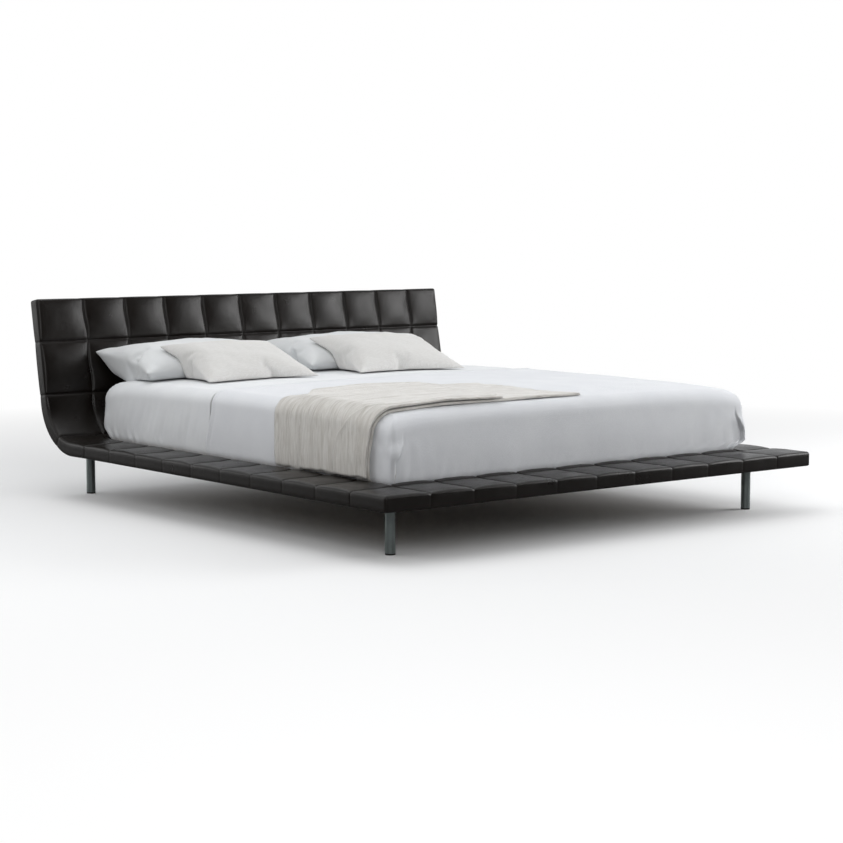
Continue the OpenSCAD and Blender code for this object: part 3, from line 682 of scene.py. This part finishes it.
def build_coverlet():
    near_corner = ((-BED_HALF_W, -BED_HALF_W + 0.16, 0.003), (BED_HALF_W - 0.12, BED_HALF_W, 0.004))
    xs = bed_lines(-BED_HALF_W, BED_HALF_W, 0.0085, fine=near_corner)
    ys = bed_lines(BED_FOOT_Y, HEM_Y, 0.0085, at_high=False, fine=((BED_FOOT_Y, BED_FOOT_Y + 0.1, 0.004),))
    zs = wall_lines(BED_BASE + 0.006)
    params, faces = grid_shell(xs, ys, zs, floor=False, open_sides=((0, 1),))
    stretch = (hem_y(params[:, 0]) - BED_FOOT_Y) / (HEM_Y - BED_FOOT_Y)
    drop = ramp(params[:, 2], WALL_TOP, BED_BASE) * 0.05
    far = ramp(params[:, 1], BED_FOOT_Y + 0.4, HEM_Y)
    params[:, 1] = BED_FOOT_Y + (params[:, 1] - BED_FOOT_Y) * (1 + (stretch - 1) * far)
    params[:, 1] += drop * far * (np.abs(params[:, 0]) > BED_HALF_W - 1e-6)
    x, y, z = params.T
    left, right, foot, _ = side_of(params)
    low_part = ramp(z, WALL_TOP, WALL_TOP - 0.05)
    hem_part = np.exp(-(z - BED_BASE - 0.03) / 0.03)
    out = 0.0022 * wobble(params, (2.4, 3.1, 3.0), 11.0)
    out += 0.0012 * wobble(params, (7.0, 11.0, 4.0), 4.0) * (0.3 + low_part)
    gathers = np.maximum(wobble(params, (34.0, 34.0, 5.0), 8.0), 0.0)
    out += COVERLET_GATHERS * gathers * np.clip(hem_part, 0, 1) * (left | right | foot)
    flap_part = ramp(z, WALL_TOP + 0.01, WALL_TOP - 0.11)
    slant = 0.014 + 0.036 * ramp(z, DECK_TOP + 0.05, WALL_TOP)
    kinks = 0.007 * wobble(np.stack([z, z, z], 1), (26.0, 0, 0), 2.0)
    for side in (-1, 1):
        inward = BED_HALF_W - side * x - slant - kinks
        out += foot * FLAP_T * ramp(inward, 0.002, -0.002) * flap_part
        out -= foot * FLAP_VALLEY * np.exp(-(((inward - 0.006) / 0.006) ** 2)) * flap_part
    corner = np.exp(-(BED_HALF_W - np.abs(x)) / 0.10) * np.exp(-(y - BED_FOOT_Y) / 0.12)
    out += 0.007 * corner * low_part * wobble(params, (22.0, 22.0, 11.0), 6.0)
    from_hem = hem_y(x) + drop * (left | right) - y
    out += HEM_T * np.exp(-((from_hem / 0.008) ** 2))
    out -= HEM_VALLEY * np.exp(-(((from_hem - 0.022) / 0.005) ** 2))
    points = bed_points(params, out + COVERLET_RISE)
    piece = mesh_piece("coverlet_cloth", points, faces, COVER_COTTON, "mattress")
    thicken(piece, COVERLET_T)
    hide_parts("coverlet")


# ---- Throw ----

THROW_HEM = DECK_TOP + 0.004
LAYER_T = 0.0042
LAYER_STEP = 0.0072
THROW_RISE = 0.0042  # from the coverlet to the middle of the lowest layer
WALL_RUN = WALL_TOP - THROW_HEM
ARC_RUN = TOP_R * math.pi / 2
OVER_EDGE = WALL_RUN + ARC_RUN
THROW_RUN = OVER_EDGE + 0.895
BACK_FOLD = 0.70  # where the folds lie across the band, from its foot edge to its head edge
FRONT_FOLD = 0.31
THROW_EDGES = (
    # length from the hem, foot edge and head edge from the bed's foot edge
    (0.00, 0.362, 0.954),
    (0.20, 0.345, 0.957),
    (0.33, 0.312, 0.955),
    (0.52, 0.302, 1.010),
    (0.70, 0.302, 1.040),
    (0.88, 0.302, 0.990),
    (1.05, 0.302, 0.955),
    (1.25, 0.295, 0.900),
)


def throw_edges(q):
    """Foot and head edge of the folded throw at length q from its hem, as y in the row frame."""
    stops, foot, head = np.array(THROW_EDGES).T
    fine = np.linspace(0, THROW_RUN, 60)
    weights = np.exp(-((fine[:, None] - fine[None, :]) / 0.05) ** 2)
    weights /= weights.sum(1, keepdims=True)
    foot_line = weights @ np.interp(fine, stops, foot)
    head_line = weights @ np.interp(fine, stops, head)
    return FOOT_Y + np.interp(q, fine, foot_line), FOOT_Y + np.interp(q, fine, head_line)


def fold_section():
    """The folded cloth across its width: layer, share of that layer's run, and height in layers."""
    step = 0.013
    parts = []
    for layer, width in enumerate((1.0, 0.8, 0.8, 0.35)):
        count = int(round(width / step))
        share = np.linspace(0.0, 1.0, count)
        parts.append(np.stack([np.full(count, float(layer)), share, np.full(count, float(layer))], axis=1))
        if layer < 3:
            turn = np.linspace(-np.pi / 2, np.pi / 2, 6)[1:-1]
            rows = [np.full(4, float(layer)), 1.0 + 0.006 * np.cos(turn), layer + 0.5 + 0.5 * np.sin(turn)]
            parts.append(np.stack(rows, axis=1))
    return np.concatenate(parts)


def fold_place(layer, share, q):
    """Share of the band, from its foot edge to its head edge, and the length used of the layer."""
    back = BACK_FOLD + (0.985 - BACK_FOLD) * ramp(q, OVER_EDGE - 0.05, OVER_EDGE + 0.25)
    front = 0.030 + (FRONT_FOLD - 0.030) * (1 - ramp(q, WALL_RUN, OVER_EDGE + 0.22))
    overhang = np.full_like(q, -0.010)
    starts = [np.ones_like(q), np.zeros_like(q), back, overhang]
    ends = [np.zeros_like(q), back, overhang, front]
    across = np.choose(layer.astype(int), [a + (b - a) * share for a, b in zip(starts, ends)])
    used = np.choose(layer.astype(int), [
        np.ones_like(q), 1.0 - 0.20 * share, 0.80 - 0.12 * share, 0.68 + 0 * share])
    return across, used


def build_throw():
    section = fold_section()
    qs = spread(0.0, THROW_RUN, 0.012)
    rows, columns = len(qs), len(section)
    q = np.repeat(qs, columns)
    layer, share, level = (np.tile(column, rows) for column in section.T)
    across, used = fold_place(layer, share, q)
    q = q * used
    wave = np.stack([q, across, level * 0.2], axis=1)
    across += 0.014 * wobble(wave, (5.0, 2.0, 1.0), 1.5) * (1 - np.abs(2 * np.clip(across, 0, 1) - 1))
    foot, head = throw_edges(q)
    y = foot + (head - foot) * across
    y += 0.005 * wobble(wave, (9.0, 1.0, 3.0), 4.4) + 0.003 * wobble(wave, (30.0, 1.0, 9.0), 6.2)
    ragged = 0.004 * level + 0.009 * wobble(np.stack([y, level, q * 0], 1), (19.0, 1.0, 1.0), 3.3)
    near_end = ramp(q, THROW_RUN * used - 0.2, THROW_RUN * used)
    q_real = q + ragged * (1 - ramp(q, 0.0, 0.15)) - 2.0 * ragged * near_end
    past = q_real - WALL_RUN
    turn = np.clip(past / TOP_R, 0.0, math.pi / 2)
    x = -BED_HALF_W + TOP_R * (1 - np.cos(turn)) + np.maximum(past - ARC_RUN, 0.0)
    z = np.where(past < 0, THROW_HEM + q_real, WALL_TOP)
    ridges = wobble(np.stack([q * 0.35, y, level * 0.3], 1), (7.0, 30.0, 1.0), 2.2)
    fine_ridges = wobble(np.stack([q * 0.35, y, level * 0.3], 1), (11.0, 78.0, 1.0), 5.2)
    edge_gap = np.minimum(share, 1 - share)
    free = 1 - np.exp(-edge_gap / 0.06)
    out = THROW_RISE + LAYER_STEP * level + 0.0027 * ridges * free + 0.0011 * fine_ridges
    out += 0.0045 * np.maximum(wobble(np.stack([q, y, level * 0], 1), (4.5, 6.5, 1.0), 6.1), -0.2)
    out += 0.0030 * np.exp(-(((1 - share) / 0.10) ** 2)) * (layer > 0.5) - 0.0010 * level * near_end
    points = bed_points(np.stack([x, y, z], axis=1), out)
    faces = []
    for i in range(rows - 1):
        for j in range(columns - 1):
            a = i * columns + j
            faces.append((a, a + columns, a + columns + 1, a + 1))
    piece = mesh_piece("throw_cloth", points, faces, PLUSH, "throw")
    thicken(piece, LAYER_T, 0.0)
    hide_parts("throw")


# ---- Pillows ----

BACK_LEAN = math.radians(9.0)
FRONT_LEAN = math.radians(18.0)
SWELL_FRAMES = 24
SWELL_PRESSURE = 7.0
MAX_SAG = 0.06  # how far a pillow's underside may sink to fill the room below it
PILLOW_STEP = 0.0155
REST_GAP = 0.0015
SOFTNESS = 0.006


def pillow_grid(w, l, seed):
    """A flat pillow of two layers that share their edge, w by l, with slightly drawn-in sides.

    Also gives each point's share of sagging: 0 on the top layer and the seam, 1 well inside the lower one.
    """
    nx, ny = int(round(w / PILLOW_STEP)), int(round(l / PILLOW_STEP))
    points, sag, index, faces = [], [], {}, []

    def at(i, j, top):
        edge = i in (0, nx) or j in (0, ny)
        key = (i, j, 0 if edge else (1 if top else -1))
        if key not in index:
            u, v = 2 * i / nx - 1, 2 * j / ny - 1
            pull_x = 1 - 0.035 * (1 - v * v)
            pull_y = 1 - 0.050 * (1 - u * u)
            height = 0.0 if edge else 0.006 * (1 if top else -1)
            bump = 0.0025 * noise.noise(Vector((i * 0.23 + seed, j * 0.23, 1.0 if top else 5.0)))
            index[key] = len(points)
            points.append((u * w / 2 * pull_x, v * l / 2 * pull_y, height + bump))
            gap = min(w / 2 * (1 - abs(u)), l / 2 * (1 - abs(v)))
            sag.append(0.0 if top else float(ramp(gap, 0.0, 0.07)))
        return index[key]

    for i in range(nx):
        for j in range(ny):
            faces.append((at(i, j, 1), at(i + 1, j, 1), at(i + 1, j + 1, 1), at(i, j + 1, 1)))
            faces.append((at(i, j + 1, 0), at(i + 1, j + 1, 0), at(i + 1, j, 0), at(i, j, 0)))
    return np.array(points), np.array(sag), faces


def swell(points, faces, pressure):
    mesh = bpy.data.meshes.new("swelling")
    mesh.from_pydata([tuple(p) for p in points], [], faces)
    bag = bpy.data.objects.new("swelling", mesh)
    bpy.context.scene.collection.objects.link(bag)
    cloth = bag.modifiers.new("Cloth", "CLOTH")
    setup = cloth.settings
    setup.quality = 6
    setup.mass = 0.25
    setup.tension_stiffness = 25
    setup.compression_stiffness = 12
    setup.shear_stiffness = 8
    setup.bending_stiffness = 0.8
    setup.use_pressure = True
    setup.uniform_pressure_force = pressure
    setup.effector_weights.gravity = 0
    cloth.collision_settings.use_collision = False
    cloth.point_cache.frame_start = 1
    cloth.point_cache.frame_end = SWELL_FRAMES
    scene = bpy.context.scene
    for step in range(1, SWELL_FRAMES + 1):
        scene.frame_set(step)
    settled = bag.evaluated_get(bpy.context.evaluated_depsgraph_get()).to_mesh()
    moved = np.array([tuple(v.co) for v in settled.vertices])
    bpy.data.objects.remove(bag)
    scene.frame_set(1)
    return moved


def place_pillow(points, centre, lean, turn):
    cos_l, sin_l = math.cos(lean), math.sin(lean)
    cos_t, sin_t = math.cos(turn), math.sin(turn)
    x, y, z = points.T
    x, y = x * cos_t - y * sin_t, x * sin_t + y * cos_t
    y, z = y * cos_l - z * sin_l, y * sin_l + z * cos_l
    return np.stack([x, y, z], axis=1) + np.array(centre)


def soft_floor(value, limit, softness):
    """Value pushed above limit, easing in over softness."""
    gap = (value - limit) / softness
    return limit + softness * np.logaddexp(0.0, gap * 2.0) / 2.0


def bed_height(x, y):
    params = np.stack([x, y, np.full_like(x, WALL_TOP)], axis=1)
    params[:, 0] = np.clip(params[:, 0] - (SHIFT_LEFT + SHIFT_RIGHT) / 2, -BED_HALF_W, BED_HALF_W)
    params[:, 1] = np.clip(params[:, 1], BED_FOOT_Y, BED_HEAD_Y)
    return bed_points(params, np.full(len(x), REST_GAP))[:, 2]


def head_front_y(z):
    """Front of the headboard's padding at height z."""
    top_y, top_z, _, _ = profile(np.array(PROFILE_L))
    return top_y - (top_z - z) * math.tan(SHELL_LEAN) - PUFF_HEAD


def settle(points, sag, below=None):
    """Rests a placed pillow on the bed, the headboard and another pillow's mesh."""
    x, y, z = points.T.copy()
    rest = bed_height(x, y)
    if below is not None:
        for i, (px, py) in enumerate(zip(x, y)):
            hit = below.ray_cast(Vector((px, py, 2.0)), Vector((0, 0, -1)))
            if hit[0] is not None:
                rest[i] = max(rest[i], hit[0].z + 0.003)
    rest += REST_GAP
    z += sag * np.clip(rest - z, -MAX_SAG, 0.0)
    z = soft_floor(z, rest, SOFTNESS)
    front = head_front_y(z) - 0.002
    y = -soft_floor(-y, -front, SOFTNESS)
    return np.stack([x, y, z], axis=1)


def build_pillow(name, size, shift, lean, turn, seed, material, slot, below=None):
    """A pillow of the given width, depth and thickness, moved by shift from its solid's middle."""
    low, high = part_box(name)
    centre = (low + high) / 2 + Vector(shift)
    w, l, thickness = size
    points, sag, faces = pillow_grid(w, l, seed)
    points = swell(points, faces, SWELL_PRESSURE)
    points -= (points.max(axis=0) + points.min(axis=0)) / 2
    points *= np.array(size) / (points.max(axis=0) - points.min(axis=0))
    creases = wobble(points, (9.0, 16.0, 9.0), seed) + 0.5 * wobble(points, (26.0, 34.0, 26.0), seed + 3.0)
    points[:, 2] += 0.0045 * creases * ramp(np.abs(points[:, 2]), 0.004, 0.03)
    points = settle(place_pillow(points, centre, lean, turn), sag, below)
    piece = mesh_piece(name + "_soft", points, faces, material, name)
    subdivide(piece)
    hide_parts(name)
    return BVHTree.FromPolygons([Vector(p) for p in points], faces)


def build_pillows():
    back = {"material": PILLOW_COTTON, "slot": "pillow_white"}
    front = {"material": LINEN, "slot": "pillow_linen"}
    large = (0.82, 0.47, 0.150)
    left = build_pillow("pillow_back_left", large, (-0.035, -0.01, -0.002), BACK_LEAN, 0.00, 1.0, **back)
    right = build_pillow("pillow_back_right", large, (-0.045, -0.01, -0.002), BACK_LEAN, 0.02, 4.0, **back)
    build_pillow("pillow_front_left", (0.58, 0.435, 0.135), (0.010, 0.0, -0.013), FRONT_LEAN, -0.02, 8.0,
                 below=left, **front)
    build_pillow("pillow_front_right", (0.60, 0.445, 0.140), (-0.077, 0.0, -0.012), FRONT_LEAN, -0.05, 13.0,
                 below=right, **front)


# ---- Frame parts that the CAD model shapes ----

def finish_frame_parts():
    leg = steel_material("steel_gunmetal", (0.29, 0.33, 0.325), 0.36, (900.0, 900.0, 12.0))
    dark = steel_material("steel_dark", (0.05, 0.05, 0.052), 0.45, (300.0, 300.0, 300.0))
    zinc = steel_material("steel_zinc", (0.45, 0.46, 0.47), 0.35, (400.0, 400.0, 400.0))
    plywood = wood_material("wood_plywood", (0.50, 0.36, 0.22), (0.36, 0.24, 0.13), 1)
    timber = wood_material("wood_timber", (0.52, 0.38, 0.23), (0.38, 0.26, 0.15), 1)
    beech = wood_material("wood_beech", (0.62, 0.44, 0.27), (0.50, 0.34, 0.19), 0)
    rubber = rubber_material("rubber_black", (0.02, 0.02, 0.02), 0.7)
    plastic = rubber_material("plastic_glide", (0.025, 0.025, 0.025), 0.5)
    foam = rubber_material("foam_cream", (0.6, 0.55, 0.42), 0.9)
    liner = liner_material()
    looks = {
        "head_core": plywood, "side_rail": timber, "foot_rail": timber, "centre_beam": dark,
        "beam_strip": rubber, "beam_hangers": dark, "slat_ledge": timber, "ledge_screws": zinc,
        "slat_seats": rubber, "slat_": beech, "bracket_": zinc, "leg_screws": zinc,
        "leg_glides": plastic, "leg_": leg, "pad_": foam, "underside_liner": liner,
    }
    for name, node in NODES.items():
        for start, material in looks.items():
            if name.startswith(start):
                node.data.materials.clear()
                node.data.materials.append(material)
                break


# ---- Stage ----

CAMERA_PLACE = (-5.4228, -6.8397, 1.2012)
CAMERA_YAW = math.radians(38.74)
CAMERA_PITCH = math.radians(5.638)


def build_camera():
    data = bpy.data.cameras.new("camera")
    data.lens = 88.4
    data.sensor_width = 36.0
    data.clip_end = 60.0
    camera = bpy.data.objects.new("camera", data)
    camera.location = CAMERA_PLACE
    camera.rotation_euler = (math.pi / 2 - CAMERA_PITCH, 0.0, -CAMERA_YAW)
    bpy.context.scene.collection.objects.link(camera)
    bpy.context.scene.camera = camera


def softbox(name, place, aim, size, power):
    data = bpy.data.lights.new(name, "AREA")
    data.shape = "RECTANGLE"
    data.size, data.size_y = size
    data.energy = power
    lamp = bpy.data.objects.new(name, data)
    lamp.location = place
    lamp.rotation_euler = (Vector(aim) - Vector(place)).to_track_quat("-Z", "Y").to_euler()
    lamp.visible_camera = False
    bpy.context.scene.collection.objects.link(lamp)


def build_lights():
    softbox("light_top", (-0.9, 0.5, 3.8), (0, 0, 0.4), (4.0, 3.0), 42.0)
    softbox("light_left", (-4.2, 0.4, 2.6), (0, 0, 0.4), (3.0, 2.2), 43.0)
    softbox("light_back_left", (-4.6, 5.6, 1.5), (0, 0, 0.3), (5.0, 3.0), 70.0)
    softbox("light_front", (-3.4, -5.0, 2.4), (0, -0.5, 0.4), (2.6, 2.6), 80.0)
    softbox("light_right", (4.4, -2.6, 2.0), (0, 1.1, 0.7), (3.2, 2.4), 175.0)


def build_world():
    """White to the camera; as a light it is brighter above and behind the bed than in front of it."""
    world = bpy.data.worlds.new("white_room")
    world.use_nodes = True
    tree = world.node_tree
    make = tree.nodes.new
    room = tree.nodes["Background"]
    backdrop = make("ShaderNodeBackground")
    backdrop.inputs["Color"].default_value = (1.0, 1.0, 1.0, 1.0)
    backdrop.inputs["Strength"].default_value = 1.0
    facing = make("ShaderNodeVectorMath")
    facing.operation = "DOT_PRODUCT"
    facing.inputs[1].default_value = (0.43, 0.53, 0.73)
    tree.links.new(make("ShaderNodeTexCoord").outputs["Generated"], facing.inputs[0])
    level = make("ShaderNodeMapRange")
    for socket, number in (("From Min", 0.15), ("From Max", 0.90), ("To Min", 0.02), ("To Max", 0.90)):
        level.inputs[socket].default_value = number
    tree.links.new(facing.outputs["Value"], level.inputs["Value"])
    tree.links.new(level.outputs["Result"], room.inputs["Strength"])
    room.inputs["Color"].default_value = (0.97, 0.985, 1.0, 1.0)
    seen = make("ShaderNodeLightPath")
    mix = make("ShaderNodeMixShader")
    tree.links.new(seen.outputs["Is Camera Ray"], mix.inputs["Fac"])
    tree.links.new(room.outputs["Background"], mix.inputs[1])
    tree.links.new(backdrop.outputs["Background"], mix.inputs[2])
    tree.links.new(mix.outputs["Shader"], tree.nodes["World Output"].inputs["Surface"])
    bpy.context.scene.world = world
    bpy.context.scene.view_settings.view_transform = "Standard"


def build_floor():
    """A pale floor that runs out into the white background and throws little light back at the bed."""
    look = Shader("floor_pale", (0.9, 0.9, 0.9), 0.85, Specular_IOR_Level=0.1)
    look.bump(look.noise(60.0, 3.0), 0.0005, 0.2)
    distance = look.tree.nodes.new("ShaderNodeVectorMath")
    distance.operation = "LENGTH"
    look.tree.links.new(look.place, distance.inputs[0])
    fade = look.span(distance.outputs["Value"], 0.0, 1.0, 2.0, 5.0)
    glow = look.add("ShaderNodeEmission", Color=(1.0, 1.0, 1.0, 1.0), Strength=1.0)
    mix = look.add("ShaderNodeMixShader", Fac=fade)
    look.tree.links.new(look.surface.outputs["BSDF"], mix.inputs[1])
    look.tree.links.new(glow.outputs["Emission"], mix.inputs[2])
    dim = look.add("ShaderNodeBsdfDiffuse", Color=(0.22, 0.22, 0.22, 1.0))
    seen = look.add("ShaderNodeLightPath")
    final = look.add("ShaderNodeMixShader", Fac=seen.outputs["Is Camera Ray"])
    look.tree.links.new(dim.outputs["BSDF"], final.inputs[1])
    look.tree.links.new(mix.outputs["Shader"], final.inputs[2])
    look.tree.links.new(final.outputs["Shader"], look.tree.nodes["Material Output"].inputs["Surface"])
    reach = 30.0
    corners = [(-reach, -reach, 0), (reach, -reach, 0), (reach, reach, 0), (-reach, reach, 0)]
    floor = mesh_piece("floor", corners, [(0, 1, 2, 3)], look.material)


build_camera()
build_lights()
build_world()
build_floor()
finish_frame_parts()
build_leather()
build_mattress()
build_fitted_sheet()
build_coverlet()
build_throw()
build_pillows()
